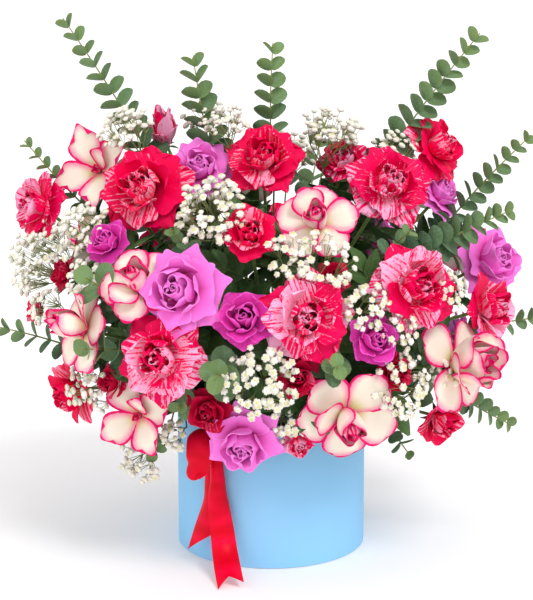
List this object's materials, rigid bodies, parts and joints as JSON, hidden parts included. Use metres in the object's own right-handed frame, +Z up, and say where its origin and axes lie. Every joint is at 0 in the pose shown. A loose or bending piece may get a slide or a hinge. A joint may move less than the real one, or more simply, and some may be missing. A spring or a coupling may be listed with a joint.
{
  "type": "flower box",
  "caption": "Round cardboard box with a satin bow, filled with roses, eucalyptus and gypsophila standing in a foam block.",
  "frame": {"origin": "middle of the box's underside", "axes": "+Z up out of the box, -Y towards the side that is meant to be seen, +X to the right of that side"},
  "size_m": [0.5473, 0.4313, 0.5098],
  "materials": {
    "box_paper": "matte",
    "liner": "satin",
    "foam": "matte",
    "ribbon": "satin",
    "rose_white": "matte",
    "rose_lilac": "matte",
    "rose_striped": "matte",
    "rose_crimson": "matte",
    "eucalyptus": "matte",
    "gypsophila": "matte"
  },
  "bodies": {
    "root": {"box_base": "box_paper", "box_wall": "box_paper", "eucalyptus_1": "eucalyptus", "eucalyptus_10": "eucalyptus", "eucalyptus_11": "eucalyptus", "eucalyptus_12": "eucalyptus", "eucalyptus_13": "eucalyptus", "eucalyptus_2": "eucalyptus", "eucalyptus_3": "eucalyptus", "eucalyptus_4": "eucalyptus", "eucalyptus_5": "eucalyptus", "eucalyptus_6": "eucalyptus", "eucalyptus_7": "eucalyptus", "eucalyptus_8": "eucalyptus", "eucalyptus_9": "eucalyptus", "eucalyptus_back_1": "eucalyptus", "eucalyptus_back_2": "eucalyptus", "foam": "foam", "gypsophila_1": "gypsophila", "gypsophila_2": "gypsophila", "gypsophila_3": "gypsophila", "gypsophila_4": "gypsophila", "gypsophila_5": "gypsophila", "gypsophila_6": "gypsophila", "gypsophila_7": "gypsophila", "gypsophila_back": "gypsophila", "liner": "liner", "ribbon_bow": "ribbon", "rose_crimson_crown": "rose_crimson", "rose_crimson_low": "rose_crimson", "rose_crimson_low_left": "rose_crimson", "rose_crimson_low_right": "rose_crimson", "rose_crimson_middle": "rose_crimson", "rose_crimson_right": "rose_crimson", "rose_crimson_upper": "rose_crimson", "rose_lilac_1": "rose_lilac", "rose_lilac_2": "rose_lilac", "rose_lilac_3": "rose_lilac", "rose_lilac_4": "rose_lilac", "rose_lilac_5": "rose_lilac", "rose_lilac_6": "rose_lilac", "rose_lilac_7": "rose_lilac", "rose_lilac_8": "rose_lilac", "rose_striped_edge": "rose_striped", "rose_striped_left": "rose_striped", "rose_striped_low": "rose_striped", "rose_striped_middle": "rose_striped", "rose_striped_right": "rose_striped", "rose_striped_top": "rose_striped", "rose_white_1": "rose_white", "rose_white_2": "rose_white", "rose_white_3": "rose_white", "rose_white_4": "rose_white", "rose_white_5": "rose_white", "rose_white_6": "rose_white", "rose_white_7": "rose_white", "roses_back_left": "rose_crimson", "roses_back_low": "rose_crimson", "roses_back_right": "rose_crimson", "roses_back_upper": "rose_crimson"}
  },
  "joints": []
}
